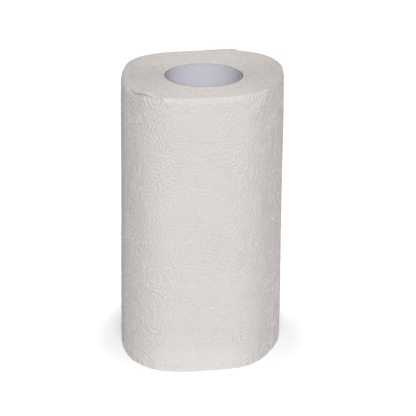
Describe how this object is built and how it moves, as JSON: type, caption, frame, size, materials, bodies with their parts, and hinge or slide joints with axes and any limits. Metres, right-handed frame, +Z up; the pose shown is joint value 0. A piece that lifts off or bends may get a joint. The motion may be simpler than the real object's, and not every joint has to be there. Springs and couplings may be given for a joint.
{
  "type": "paper towel roll",
  "caption": "Roll of embossed white paper towel wound softly on a lined board core, with a loose tail, perforated tear lines and an open bore for a holder's rod.",
  "frame": {"origin": "on the core's axis at the lower cut end of the roll", "axes": "+Z up along the core's axis; -Y towards the viewer of the picture, +X to that viewer's right"},
  "size_m": [0.1132, 0.118, 0.2],
  "materials": {
    "towel_paper": "soft matte, embossed",
    "core_board": "matte kraft board",
    "liner_paper": "smooth matte"
  },
  "bodies": {
    "root": {"towel_web": "towel_paper", "core_tube": "core_board", "core_liner": "liner_paper"}
  },
  "joints": []
}
